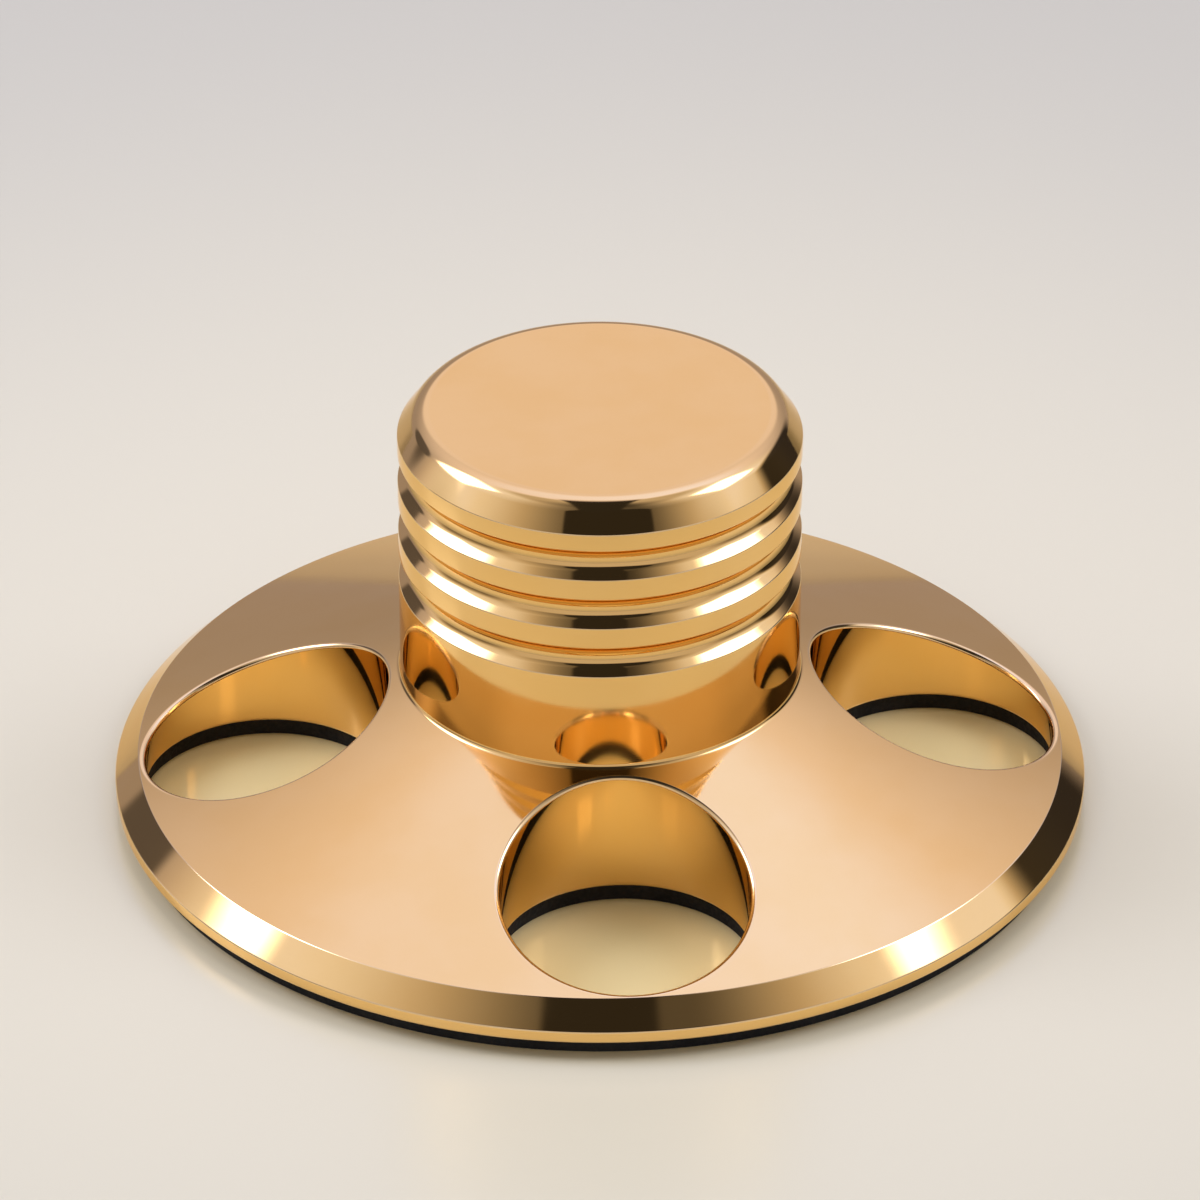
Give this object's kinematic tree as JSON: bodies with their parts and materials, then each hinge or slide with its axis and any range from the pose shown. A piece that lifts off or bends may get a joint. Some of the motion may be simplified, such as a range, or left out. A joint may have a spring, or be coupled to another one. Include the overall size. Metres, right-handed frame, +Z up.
{
  "type": "record weight clamp",
  "caption": "Turned, gold-plated weight with a grooved knob on a low conical flange pierced by round holes, on a thin rubber foot; it slips over a record spindle to press the record flat.",
  "frame": {"origin": "centre of the rubber foot's underside, where the weight rests on the record", "axes": "+Z up along the axis of turning and the spindle; the through-holes are centred on the X and Y axes"},
  "size_m": [0.08, 0.08, 0.0362],
  "materials": {
    "gold_plated_metal": "mirror-polished warm gold plating",
    "black_rubber": "matt black sheet rubber"
  },
  "bodies": {
    "root": {"weight_body": "gold_plated_metal", "rubber_foot": "black_rubber"}
  },
  "joints": []
}
